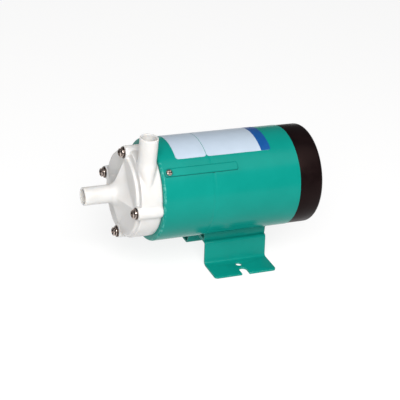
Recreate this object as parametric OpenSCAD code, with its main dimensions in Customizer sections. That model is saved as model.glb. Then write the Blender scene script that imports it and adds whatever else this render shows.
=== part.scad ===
// Magnetic drive pump. Millimetres, +Z up, shaft along X, suction tube towards -X.
// The origin is on the mounting surface, midway between the two bolt holes of the base.

/* [Motor] */
// Outside diameter of the motor shell
motor_d = 97; // [92:0.5:104]
// Length of the motor shell
shell_len = 139.5; // [136:0.5:160]
// Wall of the motor shell
shell_wall = 1.2; // [0.8:0.1:1.6]
// Height of the shaft above the mounting surface
axis_h = 79; // [75:0.5:95]
// Distance from the middle of the base to the front edge of the shell
shell_front = 93.1; // [88:0.1:100]
// Rounding of the shell's front edge
shell_round = 2; // [1.5:0.1:3]
// Width of the raised strip along the shell
strip_w = 8.7; // [8:0.1:14]
// Length of the raised strip
strip_len = 76.9; // [30:0.1:110]
// Height of the raised strip
strip_rise = 0.7; // [0.3:0.1:1.2]
// Angle of the strip from the top
strip_angle = 45; // [35:1:60]
// Width of the rolled groove round the shell
groove_w = 4.6; // [2:0.1:8]
// Depth of the rolled groove
groove_depth = 0.3; // [0.1:0.05:0.4]
// Distance of the groove from the shell's front edge
groove_from_front = 51; // [40:0.1:60]
// Diameter of the motor shaft
shaft_d = 10; // [8:0.5:12]
// Outside diameter of the shaft bearings
bearing_d = 30; // [28:0.5:34]
// Width of the shaft bearings
bearing_w = 9; // [8:0.5:10]
// Length of the stator stack
stack_len = 42; // [25:0.5:46]
// Outside diameter of the rotor
rotor_d = 48; // [42:0.5:52]
// Air gap between the rotor and the stator
air_gap = 0.5; // [0.3:0.05:1]

/* [Pump head] */
// Outside diameter of both tubes
tube_d = 17.3; // [15:0.1:19]
// Bore of both tubes
tube_bore = 14; // [9:0.5:14.5]
// Straight length of the suction tube
suction_len = 29; // [20:0.5:60]
// Height of the four-sided raised front
front_rise = 9; // [7:0.5:14]
// Reach of the four ridges from the shaft axis
ridge_reach = 33.5; // [28:0.5:35]
// Rounding of the ridges where they end
ridge_round = 1.5; // [0.5:0.1:3]
// How much smaller the front cover's rim is than the motor
cover_inset = 20; // [16:0.5:21]
// Height of the screw bosses above the front cover's rim
boss_rise = 1; // [0:0.1:2]
// Thickness of the front cover's rim
cover_t = 3; // [2.5:0.1:5]
// Rounding of the front cover's rim
cover_round = 1.4; // [0.5:0.1:2]
// Length of the volute casing
volute_len = 20.4; // [20:0.1:30]
// How far the narrowest part of the volute lies inside the motor's outline
volute_inset = 8.5; // [7:0.1:9]
// Growth of the volute's radius in each quarter turn
volute_step = 1.6; // [0.6:0.1:1.8]
// Height of the discharge tube's end above the shaft
nozzle_top = 67.5; // [54:0.1:90]
// Distance of the discharge tube from the shaft's plane
nozzle_side = 25.1; // [18:0.1:27]
// How much smaller the casing screws' circle is than the motor
screw_inset = 14; // [13.5:0.1:14.5]
// Diameter of the bosses round the casing screws
boss_d = 12.4; // [11:0.1:13]
// How much smaller the impeller is than the motor
impeller_inset = 44; // [43:0.5:50]
// Number of impeller vanes
vane_count = 5; // [4:1:7]

/* [Magnetic coupling] */
// Diameter of the fixed spindle
spindle_d = 8; // [6:0.5:9]
// Running clearance of the bush on the spindle, on the radius
bush_gap = 0.05; // [0.02:0.01:0.08]
// Inside diameter of the can
can_d = 36.8; // [35:0.1:40]
// Wall of the can
can_wall = 2; // [1.2:0.1:2.5]
// Number of drive magnets
magnet_count = 8; // [4:2:12]

/* [Base] */
// Length of the base along the shaft
base_len = 65; // [55:0.5:90]
// Width over the two feet
base_w = 96; // [92:0.5:120]
// Sheet thickness of the base
base_sheet = 1.8; // [1.2:0.1:2.2]
// Width of the saddle
saddle_w = 30; // [26:0.5:36]
// Gap that the saddle bridges below the shell
saddle_gap = 7.1; // [7:0.1:12]
// Distance between the two bolt holes
hole_spacing = 61; // [58:0.5:64]
// Diameter of the bolt holes
hole_d = 6; // [5:0.5:7]
// Width of the open slots
slot_w = 8; // [6:0.5:9]
// Depth of the open slots from the foot's edge
slot_depth = 10.7; // [8:0.1:12]
// Slope of the base's legs from upright, in degrees
leg_slope = 10; // [5:1:15]

/* [Rear cap] */
// Length of the rear cap behind the shell
cap_len = 24.8; // [24:0.1:32]
// Rounding of the rear cap's edge
cap_round = 3.6; // [2:0.1:4]
// Wall of the rear cap
cap_wall = 2.2; // [1.6:0.1:2.6]
// Width of the air slots
vent_w = 3; // [2:0.1:3.4]
// Number of fan blades
blade_count = 9; // [5:1:12]

/* [Fasteners] */
// Thread diameter of the casing screws
screw_d = 5; // [4:0.5:5]
// Head diameter of the casing screws
screw_head_d = 8.4; // [7:0.1:9]
// Head height of the casing screws
screw_head_h = 3.1; // [2.4:0.1:4]
// Outside diameter of the flat washers
washer_d = 11; // [9.5:0.1:12]
// Thickness of the flat washers
washer_t = 1; // [0.8:0.1:1.4]
// Thickness of the spring washers
spring_t = 1.1; // [0.8:0.1:1.4]

/* [Hidden] */
$fn = 96;
// Tolerance that cutting bodies run past a face
past = 1;

// Colours
white = [0.93, 0.92, 0.9];
green = [0.03, 0.58, 0.5];
black = [0.08, 0.07, 0.08];
steel = [0.72, 0.72, 0.72];
dark_steel = [0.35, 0.36, 0.38];
copper = [0.72, 0.42, 0.2];
rubber = [0.1, 0.1, 0.1];
ceramic = [0.9, 0.88, 0.8];
grey_plastic = [0.6, 0.62, 0.64];

// Radii about the shaft
shell_r = motor_d / 2;
shell_in = shell_r - shell_wall;
tube_r = tube_d / 2;
bore_r = tube_bore / 2;
cover_r = (motor_d - cover_inset) / 2;
volute_r = shell_r - volute_inset;
screw_r = (motor_d - screw_inset) / 2;
boss_r = boss_d / 2;
shaft_r = shaft_d / 2;
bearing_r = bearing_d / 2;
rotor_r = rotor_d / 2;
spindle_r = spindle_d / 2;
can_in = can_d / 2;
can_out = can_in + can_wall;
impeller_r = (motor_d - impeller_inset) / 2;

// Stations along the shaft, pump head
motor_x = -shell_front;
seam_x = motor_x - volute_len;
cover_x = seam_x - cover_t;
boss_x = cover_x - boss_rise;
rise_x = cover_x - front_rise;
tip_x = rise_x - suction_len;
can_flange_t = 4.2;
can_flange_x = motor_x - can_flange_t;

// Wet passages
cavity_gap = 1.7;
cavity_r = impeller_r + cavity_gap + volute_step / 2;
cavity_far = cavity_r + 3.5 * volute_step;
volute_far = volute_r + 3.5 * volute_step;
neck_r = tube_r + 0.35;
nozzle_x = seam_x + neck_r + 0.1;
neck_top = sqrt(pow(volute_far, 2) - pow(nozzle_side - neck_r, 2)) + 0.3;
throat_r = bore_r - 0.3;
throat_top = cavity_far + 0.8;
eye_r = 12.5;
eye_x = cover_x - 1.5;
cone_x = rise_x + 1.5;
spider_x = eye_x - 1.5;
spider_t = 4;
hub_r = spindle_r + 2;
hub_nose_x = cone_x + 1.5;
hub_end_x = cover_x + 1.2;
hub_wall = 1.5;
spindle_x = hub_nose_x + hub_wall;

// Seals
seal_w = 2.2;
seal_r = cavity_far + 1.2 + seal_w / 2;
seal_depth = 1.9;
flange_r = seal_r + 0.4;
rim_depth = 2;

// Coupling stations
thrust_t = 2;
thrust_r = spindle_r + 2;
front_thrust_x = hub_end_x;
run_gap = 0.4;
bush_x = front_thrust_x + thrust_t + run_gap;
bush_r = spindle_r + 3;
impeller_x = seam_x + 0.8;
shroud_t = 1.8;
vane_h = 7;
vane_t = 1.8;
back_t = 3;
vane_x = impeller_x + shroud_t;
back_x = vane_x + vane_h;
capsule_x = back_x + back_t;
capsule_r = can_in - 1.2;
capsule_skin = 1.3;
capsule_len = 34.6;
capsule_end = capsule_x + capsule_len;
capsule_floor = 3;
sleeve_r = bush_r + 2;
rear_thrust_x = capsule_end + run_gap;
post_x = rear_thrust_x + thrust_t;
post_len = 5;
can_wall_x = post_x + post_len;
can_end_x = can_wall_x + can_wall;
spindle_end = can_wall_x - 1;
magnet_in = can_out + 1.6;
magnet_out = magnet_in + 4;
yoke_r = magnet_out + 5;
yoke_x = motor_x + 5;
yoke_floor_x = can_end_x + 2;
yoke_floor_t = 3.5;
yoke_hub_r = shaft_r + 4.5;
yoke_end = yoke_floor_x + yoke_floor_t + 4;
magnet_slot = 2;
yoke_screw_r = 2;

// Motor stations
lip_t = 1.5;
front_lip_x = yoke_end + lip_t;
front_bearing_x = front_lip_x + lip_t;
shoulder_x = front_bearing_x + bearing_w;
coil_x = shoulder_x + 1.2;
coil_len = 7.5;
stack_x = coil_x + coil_len;
stack_end = stack_x + stack_len;
shell_end = motor_x + shell_len;
shield_end = shell_end - 1.4;
rear_bearing_x = shield_end - 2 - bearing_w;
shield_rim = 10;
shield_web = 4;
shaft_core_r = shaft_r + 1.5;
cap_end = shell_end + cap_len;
cap_floor = 2.4;
cap_r = shell_r - 0.4;

// Fan
fan_x = shield_end + 4;
fan_disc = 1.5;
fan_len = 11;
fan_end = fan_x + fan_len;
fan_r = shell_r - 19.5;
fan_hub_r = shaft_r + 3;
blade_t = 1.4;
fan_edge = 0.5;
blade_root = 1;
clip_t = 1;
clip_depth = 0.5;
shaft_end = fan_end + clip_t + 2;
shaft_x = yoke_floor_x;

// Bracket
bracket_lip = 4.6;
bracket_opening = yoke_r + 1.5;
bracket_plate = 6;
skirt_t = 4;
insert_len = 12;
shell_screw_x = motor_x + 7.2;
shell_screw_r = 1.5;
shell_head_r = 2.8;
shell_head_h = 2;
seat_r = shell_r + strip_rise - 0.45;

// Saddle and base
web_top = axis_h - shell_r - saddle_gap;
bend_out = 3.2;
bend_in = 3;
web_half = saddle_w / 2 + 0.3;
foot_corner = 3;
saddle_sheet = 1.6;
base_bolt_r = 2.5;
base_bolt_x = base_len / 2 - 12;
base_bolt_head = 3.5;
base_nut_t = 4;
base_nut_r = 4.6;

// Rear cap fittings
post_r = 4;
post_circle = shell_r - 8.5;
cap_screw_r = 1.7;
cap_head_r = 3.3;
cap_head_h = 2;
vent_circle = shell_r - 20.5;
vent_pitch = 6;
entry_circle = shell_r - 11.5;
entry_r = 5;
entry_lip_r = 6.6;
entry_bore_r = 3.25;
entry_lip = 2;
capacitor_w = 32;
capacitor_t = 11;
capacitor_len = 17;

// Helpers

// Stands children on the shaft axis at a station: local +Z runs to the rear and local -X is up.
module on_axis(x) {
    translate([x, 0, axis_h])
        rotate([0, 90, 0])
            children();
}

// Moves children out from the axis by r, at an angle from the top towards -Y.
module at_angle(a, r) {
    rotate([0, 0, a])
        translate([-r, 0, 0])
            children();
}

// Round bar along the shaft between two stations.
module disc(x0, x1, r) {
    on_axis(x0)
        cylinder(h = x1 - x0, r = r);
}

// Round sleeve along the shaft between two stations.
module ring(x0, x1, r_out, r_in) {
    difference() {
        disc(x0, x1, r_out);
        disc(x0 - past, x1 + past, r_in);
    }
}

// Round bar parallel to the shaft at an angle and a distance from it.
module bar(x0, x1, r, a, reach) {
    on_axis(x0)
        at_angle(a, reach)
            cylinder(h = x1 - x0, r = r);
}

// Round bar that points out from the shaft between two radii.
module radial_bar(x, a, r, from_r, to_r) {
    on_axis(x)
        rotate([0, 0, a])
            rotate([0, -90, 0])
                translate([0, 0, from_r])
                    cylinder(h = to_r - from_r, r = r);
}

// Repeats children at the four casing screws.
module at_screws(x) {
    for (a = [0:90:270])
        on_axis(x)
            at_angle(a, screw_r)
                children();
}

// Pan head with a cross recess: seat at z = 0, top towards -Z.
module pan_head(r, h) {
    dome_r = (r * r + h * h) / (2 * h) * 1.6;
    recess = r * 0.55;
    difference() {
        intersection() {
            translate([0, 0, -h])
                cylinder(h = h, r = r);
            translate([0, 0, dome_r - h])
                sphere(r = dome_r);
        }
        for (turn = [0, 90])
            rotate([0, 0, turn + 45])
                translate([-recess, -r * 0.13, -h - past])
                    cube([2 * recess, r * 0.26, h * 0.5 + past]);
    }
}

// Spiral outline of four quarter arcs, each larger than the last by one step.
module spiral(r) {
    for (i = [0:3])
        rotate(-90 * i)
            translate([volute_step / 2, volute_step / 2])
                intersection() {
                    circle(r = r + i * volute_step);
                    translate([-2 * r, 0])
                        square([2 * r + (i < 3 ? past : 0), 2 * r]);
                }
    circle(r = r - volute_step);
}

// Rectangular groove for a seal ring, as the solid to cut.
module rim_groove(x, w, r_out, r_in) {
    ring(x, x + w, r_out + past, r_in);
}

// Ball bearing outer race.
module outer_race(x) {
    ball_r = bearing_w * 0.265;
    pitch = (bearing_r + shaft_r) / 2;
    difference() {
        ring(x, x + bearing_w, bearing_r, pitch + ball_r * 0.55);
        on_axis(x + bearing_w / 2)
            rotate_extrude()
                translate([pitch, 0])
                    circle(r = ball_r);
    }
}

// Ball bearing inner race, clear of the balls.
module inner_race(x) {
    ball_r = bearing_w * 0.265;
    pitch = (bearing_r + shaft_r) / 2;
    difference() {
        ring(x, x + bearing_w, pitch - ball_r * 0.55, shaft_r);
        on_axis(x + bearing_w / 2)
            rotate_extrude()
                translate([pitch, 0])
                    circle(r = ball_r + 0.06);
    }
}

// Eight bearing balls.
module race_balls(x) {
    ball_r = bearing_w * 0.265;
    pitch = (bearing_r + shaft_r) / 2;
    for (a = [0:45:315])
        on_axis(x + bearing_w / 2)
            at_angle(a, pitch)
                sphere(r = ball_r);
}

// Pump head

// Raised front that runs from the round tube to a square whose corners point at the casing screws.
module raised_front() {
    corner = ridge_reach - ridge_round;
    hull($fn = 48) {
        disc(rise_x, rise_x + cover_round, tube_r + 0.05);
        for (a = [0:90:270])
            bar(cover_x, cover_x + cover_t / 2, ridge_round, a, corner);
    }
}

// Disc of the front cover, rounded at its front edge.
module cover_disc() {
    on_axis(cover_x)
        rotate_extrude()
            intersection() {
                union() {
                    translate([0, cover_round])
                        square([cover_r, cover_t - cover_round]);
                    square([cover_r - cover_round, cover_t]);
                    translate([cover_r - cover_round, cover_round])
                        circle(r = cover_round);
                }
                square([cover_r, cover_t]);
            }
}

module front_cover() {
    color(white)
    difference() {
        union() {
            difference() {
                union() {
                    disc(tip_x, cover_x, tube_r);
                    raised_front();
                    cover_disc();
                    at_screws(boss_x)
                        cylinder(h = cover_t + boss_rise, r = boss_r);
                }
                disc(tip_x - past, cone_x + past, bore_r);
                on_axis(cone_x)
                    cylinder(h = eye_x - cone_x, r1 = bore_r, r2 = eye_r);
                disc(eye_x, seam_x + past, eye_r);
            }
            disc(hub_nose_x, hub_end_x, hub_r);
            for (a = [60, 180, 300])
                on_axis(spider_x)
                    at_angle(a, 0)
                        translate([-eye_r - 1, -1, 0])
                            cube([eye_r + 1, 2, spider_t]);
        }
        disc(spindle_x, seam_x + past, spindle_r);
        at_screws(boss_x - past)
            cylinder(h = boss_rise + cover_t + 2 * past, r = screw_d / 2 + 0.25);
    }
}

module volute_casing() {
    color(white)
    difference() {
        union() {
            on_axis(seam_x)
                linear_extrude(height = volute_len)
                    spiral(volute_r);
            at_screws(seam_x)
                cylinder(h = volute_len, r = boss_r);
            translate([nozzle_x, -nozzle_side, axis_h]) {
                cylinder(h = nozzle_top, r = tube_r);
                cylinder(h = neck_top, r = neck_r);
            }
        }
        on_axis(seam_x - past)
            linear_extrude(height = volute_len - can_flange_t + past + 0.01)
                spiral(cavity_r);
        disc(can_flange_x, motor_x + past, flange_r + 0.1);
        ring(seam_x - past, seam_x + seal_depth, seal_r + seal_w / 2, seal_r - seal_w / 2);
        translate([nozzle_x, -nozzle_side, axis_h]) {
            cylinder(h = nozzle_top, r = throat_r);
            translate([0, 0, throat_top])
                cylinder(h = nozzle_top - throat_top + past, r = bore_r);
        }
        at_screws(seam_x - past)
            cylinder(h = volute_len + 2 * past, r = screw_d / 2 + 0.25);
    }
}

module cover_seal() {
    color(rubber)
    on_axis(seam_x)
        rotate_extrude()
            intersection() {
                translate([seal_r, seal_depth / 2])
                    circle(r = seal_w / 2);
                translate([seal_r - seal_w, 0])
                    square([2 * seal_w, seal_depth]);
            }
}

module rear_casing() {
    groove_x = can_flange_x + (can_flange_t - seal_w) / 2;
    color(grey_plastic)
    difference() {
        union() {
            difference() {
                union() {
                    disc(can_flange_x, motor_x, flange_r);
                    disc(can_flange_x, can_end_x, can_out);
                }
                disc(can_flange_x - past, can_wall_x, can_in);
                rim_groove(groove_x, seal_w, flange_r, flange_r - rim_depth);
            }
            disc(post_x, can_wall_x + can_wall / 2, thrust_r);
        }
        disc(post_x - past, spindle_end, spindle_r);
    }
}

module casing_seal() {
    groove_x = can_flange_x + (can_flange_t - seal_w) / 2;
    section = rim_depth + 0.1;
    color(rubber)
    on_axis(groove_x)
        rotate_extrude()
            intersection() {
                translate([flange_r - rim_depth + section / 2, seal_w / 2])
                    circle(r = seal_w / 2);
                translate([flange_r - rim_depth, 0])
                    square([section, seal_w]);
            }
}

module spindle() {
    color(ceramic)
    disc(spindle_x, spindle_end, spindle_r);
}

module front_thrust_ring() {
    color(ceramic)
    ring(front_thrust_x, front_thrust_x + thrust_t, thrust_r, spindle_r);
}

module rear_thrust_ring() {
    color(ceramic)
    ring(rear_thrust_x, rear_thrust_x + thrust_t, thrust_r, spindle_r);
}

module casing_screws() {
    seat = boss_x - washer_t - spring_t;
    color(steel)
    at_screws(seat) {
        pan_head(screw_head_d / 2, screw_head_h);
        translate([0, 0, -screw_head_h / 4])
            cylinder(h = motor_x + insert_len - seat + screw_head_h / 4, r = screw_d / 2);
    }
}

module spring_washers() {
    color(steel)
    at_screws(boss_x - washer_t - spring_t)
        difference() {
            cylinder(h = spring_t, r = screw_head_d / 2 + 0.1);
            translate([0, 0, -past])
                cylinder(h = spring_t + 2 * past, r = screw_d / 2);
            rotate([0, 0, 30])
                translate([0, -0.4, -past])
                    cube([screw_head_d, 0.8, spring_t + 2 * past]);
        }
}

module flat_washers() {
    color(steel)
    at_screws(boss_x - washer_t)
        difference() {
            cylinder(h = washer_t, r = washer_d / 2);
            translate([0, 0, -past])
                cylinder(h = washer_t + 2 * past, r = screw_d / 2);
        }
}

// Impeller group

module impeller() {
    vane_r = impeller_r * 0.7;
    color(grey_plastic)
    difference() {
        union() {
            ring(impeller_x, vane_x, impeller_r, eye_r);
            disc(back_x, capsule_x, impeller_r);
            disc(impeller_x, back_x + past, sleeve_r);
            intersection() {
                ring(vane_x - shroud_t / 2, back_x + past, impeller_r, sleeve_r - past);
                for (i = [0:vane_count - 1])
                    on_axis(vane_x - shroud_t / 2)
                        at_angle(i * 360 / vane_count, vane_r * 0.72)
                            difference() {
                                cylinder(h = vane_h + past, r = vane_r);
                                translate([0, 0, -past])
                                    cylinder(h = vane_h + 3 * past, r = vane_r - vane_t);
                                translate([-2 * vane_r, 0, -past])
                                    cube([4 * vane_r, 2 * vane_r, vane_h + 3 * past]);
                                translate([0, -2 * vane_r, -past])
                                    cube([2 * vane_r, 4 * vane_r, vane_h + 3 * past]);
                            }
            }
        }
        disc(impeller_x - past, capsule_x + past, bush_r);
    }
}

module magnet_capsule() {
    color(white)
    difference() {
        disc(capsule_x, capsule_end, capsule_r);
        disc(capsule_x - past, capsule_end + past, bush_r);
        ring(capsule_x - past, capsule_end - capsule_floor, capsule_r - capsule_skin, sleeve_r);
    }
}

module driven_magnet() {
    color(dark_steel)
    ring(capsule_x, capsule_end - capsule_floor, capsule_r - capsule_skin, sleeve_r);
}

module impeller_bush() {
    color(dark_steel)
    ring(bush_x, capsule_end, bush_r, spindle_r + bush_gap);
}

// Drive group

module drive_yoke() {
    color(dark_steel)
    difference() {
        union() {
            ring(yoke_x, yoke_floor_x + past, yoke_r, magnet_out);
            disc(yoke_floor_x, yoke_floor_x + yoke_floor_t, yoke_r);
            disc(yoke_floor_x, yoke_end, yoke_hub_r);
        }
        disc(yoke_floor_x - past, yoke_end + past, shaft_r);
        radial_bar(yoke_end - 2.4, 0, yoke_screw_r, 0, yoke_hub_r + past);
    }
}

module drive_magnets() {
    color(steel)
    difference() {
        ring(yoke_x + 1, can_end_x - 2, magnet_out, magnet_in);
        for (i = [0:magnet_count - 1])
            on_axis(yoke_x)
                at_angle(i * 360 / magnet_count, 0)
                    translate([-magnet_out - past, -magnet_slot / 2, 0])
                        cube([magnet_out + past, magnet_slot, can_end_x - yoke_x]);
    }
}

module yoke_screw() {
    color(dark_steel)
    difference() {
        radial_bar(yoke_end - 2.4, 0, yoke_screw_r, shaft_r, yoke_hub_r);
        disc(yoke_floor_x - past, yoke_end + past, shaft_r);
    }
}

module motor_shaft() {
    color(steel)
    difference() {
        union() {
            disc(shaft_x, shaft_end, shaft_r);
            disc(shoulder_x, rear_bearing_x, shaft_core_r);
        }
        ring(fan_end, fan_end + clip_t, shaft_r + past, shaft_r - clip_depth);
    }
}

module rotor_core() {
    color(dark_steel)
    difference() {
        ring(stack_x, stack_end, rotor_r, shaft_core_r);
        for (a = [0:20:340])
            bar(stack_x - past, stack_end + past, 1.6, a, rotor_r - 3);
    }
}

module rotor_cage() {
    end_t = 5;
    color(steel)
    union() {
        ring(stack_x - end_t, stack_x, rotor_r - 1, rotor_r * 0.6);
        ring(stack_end, stack_end + end_t, rotor_r - 1, rotor_r * 0.6);
        for (a = [0:20:340])
            bar(stack_x - end_t / 2, stack_end + end_t / 2, 1.6, a, rotor_r - 3);
    }
}

module front_inner_race() {
    color(steel)
    inner_race(front_bearing_x);
}

module rear_inner_race() {
    color(steel)
    inner_race(rear_bearing_x);
}

module cooling_fan() {
    color(grey_plastic)
    difference() {
        union() {
            disc(fan_x, fan_x + fan_disc, fan_r);
            disc(fan_x, fan_end, fan_hub_r);
            for (i = [0:blade_count - 1])
                on_axis(fan_x + fan_disc / 2)
                    at_angle(i * 360 / blade_count, 0)
                        translate([-fan_r + fan_edge, -blade_t / 2, 0])
                            cube([fan_r - fan_edge - shaft_r - blade_root, blade_t, fan_len - fan_disc]);
        }
        disc(fan_x - past, fan_end + past, shaft_r);
    }
}

module fan_clip() {
    color(steel)
    difference() {
        ring(fan_end, fan_end + clip_t, shaft_r + 2.2, shaft_r - clip_depth);
        on_axis(fan_end - past)
            translate([0, -1.5, 0])
                cube([2 * shaft_r, 3, clip_t + 2 * past]);
    }
}

// Motor housing

module front_bracket() {
    skirt_in = shell_in - skirt_t;
    color(green)
    difference() {
        union() {
            disc(motor_x, motor_x + shell_wall, shell_r - bracket_lip);
            disc(motor_x + shell_wall, motor_x + bracket_plate, shell_in);
            ring(motor_x + bracket_plate - past, front_lip_x + past, shell_in, skirt_in);
            at_screws(motor_x + bracket_plate - past)
                cylinder(h = insert_len + 2 - bracket_plate, r = screw_d / 2 + 2.5);
            disc(front_lip_x, shoulder_x, shell_in);
        }
        disc(motor_x - past, motor_x + bracket_plate + past, bracket_opening);
        disc(front_lip_x - past, front_bearing_x + past, bearing_r - 2.5);
        disc(front_bearing_x, shoulder_x + past, bearing_r);
        at_screws(motor_x - past)
            cylinder(h = insert_len + past, r = screw_d / 2);
        for (a = [strip_angle, -strip_angle])
            radial_bar(shell_screw_x, a, shell_screw_r, skirt_in - past, shell_in + past);
    }
}

module front_outer_race() {
    color(steel)
    outer_race(front_bearing_x);
}

module front_balls() {
    color(steel)
    race_balls(front_bearing_x);
}

// Outline of the shell's wall in one half plane, with the lip at the front.
module shell_profile() {
    translate([shell_in, shell_round])
        square([shell_wall, shell_len - shell_round]);
    translate([shell_r - bracket_lip, 0])
        square([bracket_lip - shell_round, shell_wall]);
    difference() {
        translate([shell_r - shell_round, shell_round])
            intersection() {
                circle(r = shell_round);
                translate([0, -shell_round])
                    square(shell_round);
            }
        translate([shell_r - bracket_lip - past, shell_wall])
            square([shell_in - shell_r + bracket_lip + past, shell_round]);
    }
}

// Raised strip on one side of the shell, with a round rear end.
module shell_strip(a) {
    intersection() {
        ring(motor_x, motor_x + strip_len + past, shell_r + strip_rise, shell_in + 0.3);
        on_axis(motor_x)
            rotate([0, 0, a])
                rotate([0, -90, 0])
                    linear_extrude(height = shell_r + 2 * strip_rise) {
                        translate([shell_round, -strip_w / 2])
                            square([strip_len - shell_round - strip_w / 2, strip_w]);
                        translate([strip_len - strip_w / 2, 0])
                            circle(r = strip_w / 2);
                    }
    }
}

module motor_shell() {
    groove_x = motor_x + groove_from_front;
    color(green)
    difference() {
        union() {
            difference() {
                on_axis(motor_x)
                    rotate_extrude()
                        shell_profile();
                ring(groove_x - groove_w / 2, groove_x + groove_w / 2, shell_r + past,
                    shell_r - groove_depth);
            }
            for (a = [strip_angle, -strip_angle])
                shell_strip(a);
        }
        for (a = [strip_angle, -strip_angle]) {
            radial_bar(shell_screw_x, a, shell_screw_r, shell_in - past, shell_r + 2);
            radial_bar(shell_screw_x, a, shell_head_r + 0.3, seat_r, shell_r + 2);
        }
    }
}

module shell_screws() {
    color(steel)
    for (a = [strip_angle, -strip_angle]) {
        radial_bar(shell_screw_x, a, shell_screw_r, shell_in - skirt_t, seat_r + shell_head_h / 4);
        on_axis(shell_screw_x)
            rotate([0, 0, a])
                rotate([0, -90, 0])
                    translate([0, 0, seat_r])
                        mirror([0, 0, 1])
                            pan_head(shell_head_r, shell_head_h);
    }
}

module stator_slots() {
    slot_in = rotor_r + 4;
    slot_out = shell_in - 7;
    for (i = [0:11])
        on_axis(stack_x)
            at_angle(i * 30, 0)
                translate([-slot_out, -2.5, 0])
                    cube([slot_out - slot_in, 5, stack_len]);
}

module stator_core() {
    color(dark_steel)
    difference() {
        ring(stack_x, stack_end, shell_in, rotor_r + air_gap);
        stator_slots();
        for (i = [0:11])
            on_axis(stack_x - past)
                at_angle(i * 30, 0)
                    translate([-rotor_r - 4.5, -0.8, 0])
                        cube([5, 1.6, stack_len + 2 * past]);
    }
}

module stator_winding() {
    slot_in = rotor_r + 4;
    slot_out = shell_in - 7;
    color(copper)
    union() {
        ring(coil_x, stack_x, slot_out, slot_in);
        ring(stack_end, stack_end + coil_len, slot_out, slot_in);
        intersection() {
            stator_slots();
            ring(stack_x, stack_end, slot_out, slot_in);
        }
    }
}

module rear_shield() {
    color(grey_plastic)
    difference() {
        union() {
            ring(shield_end - shield_rim, shield_end, shell_in, shell_in - skirt_t);
            disc(shield_end - shield_web, shield_end, shell_in);
            disc(rear_bearing_x, shield_end, bearing_r + 4);
        }
        disc(rear_bearing_x - past, rear_bearing_x + bearing_w, bearing_r);
        disc(rear_bearing_x, shield_end + past, shaft_r + 3);
        for (a = [30:60:330])
            bar(shield_end - shield_web - past, shield_end + past, 4, a, shell_in - 17);
        for (a = [0, 120, 240])
            bar(shield_end - shield_web - past, shield_end + past, cap_screw_r, a, post_circle);
    }
}

module rear_outer_race() {
    color(steel)
    outer_race(rear_bearing_x);
}

module rear_balls() {
    color(steel)
    race_balls(rear_bearing_x);
}

module run_capacitor() {
    color(black)
    translate([shield_end, -capacitor_w / 2, axis_h - fan_r - 1.5 - capacitor_t])
        cube([capacitor_len, capacitor_w, capacitor_t]);
}

// Outside of the rear cap as a half-plane outline, rounded at the rear edge.
module cap_profile() {
    square([cap_r, cap_len - cap_round]);
    square([cap_r - cap_round, cap_len]);
    translate([cap_r - cap_round, cap_len - cap_round])
        circle(r = cap_round);
}

module rear_cap() {
    vent_count = floor(vent_circle / vent_pitch);
    color(black)
    difference() {
        union() {
            difference() {
                union() {
                    on_axis(shell_end)
                        rotate_extrude()
                            intersection() {
                                cap_profile();
                                square([cap_r, cap_len]);
                            }
                    disc(shield_end, shell_end + past, shell_in);
                }
                disc(shield_end - past, cap_end - cap_floor, cap_r - cap_wall);
            }
            for (a = [0, 120, 240])
                bar(shield_end, cap_end - cap_floor + past, post_r, a, post_circle);
        }
        for (a = [0, 120, 240]) {
            bar(shield_end - past, cap_end + past, cap_screw_r, a, post_circle);
            bar(cap_end - cap_head_h, cap_end + past, cap_head_r + 0.3, a, post_circle);
        }
        for (i = [-vent_count:vent_count])
            translate([cap_end - cap_floor - past, i * vent_pitch - vent_w / 2, axis_h])
                translate([0, 0, -sqrt(vent_circle * vent_circle - i * i * vent_pitch * vent_pitch)])
                    cube([
                        cap_floor + 2 * past,
                        vent_w,
                        2 * sqrt(vent_circle * vent_circle - i * i * vent_pitch * vent_pitch)
                    ]);
        bar(cap_end - cap_floor - past, cap_end + past, entry_r, 180, entry_circle);
    }
}

module cap_screws() {
    seat = cap_end - cap_head_h;
    color(steel)
    for (a = [0, 120, 240]) {
        bar(shield_end - shield_web, seat + cap_head_h / 4, cap_screw_r, a, post_circle);
        on_axis(seat)
            at_angle(a, post_circle)
                mirror([0, 0, 1])
                    pan_head(cap_head_r, cap_head_h);
    }
}

module cable_entry() {
    color(rubber)
    difference() {
        union() {
            bar(cap_end - cap_floor, cap_end, entry_r, 180, entry_circle);
            bar(cap_end, cap_end + entry_lip, entry_lip_r, 180, entry_circle);
            bar(cap_end - cap_floor - entry_lip, cap_end - cap_floor, entry_lip_r, 180, entry_circle);
        }
        bar(cap_end - cap_floor - entry_lip - past, cap_end + entry_lip + past, entry_bore_r, 180,
            entry_circle);
    }
}

// Saddle and base

module saddle() {
    color(green)
    difference() {
        translate([-base_len / 2, -saddle_w / 2, web_top])
            cube([base_len, saddle_w, shell_r]);
        translate([-base_len / 2 - past, -saddle_w / 2 + saddle_sheet, web_top + saddle_sheet])
            cube([base_len + 2 * past, saddle_w - 2 * saddle_sheet, shell_r]);
        disc(-base_len, base_len, shell_r);
        for (x = [-base_bolt_x, base_bolt_x])
            translate([x, 0, web_top - past])
                cylinder(h = saddle_sheet + 2 * past, r = base_bolt_r);
    }
}

// Stretches a section drawn in the plane across the shaft along the base.
module along_base(run) {
    rotate([90, 0, 90])
        linear_extrude(height = run, center = true)
            children();
}

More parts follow.
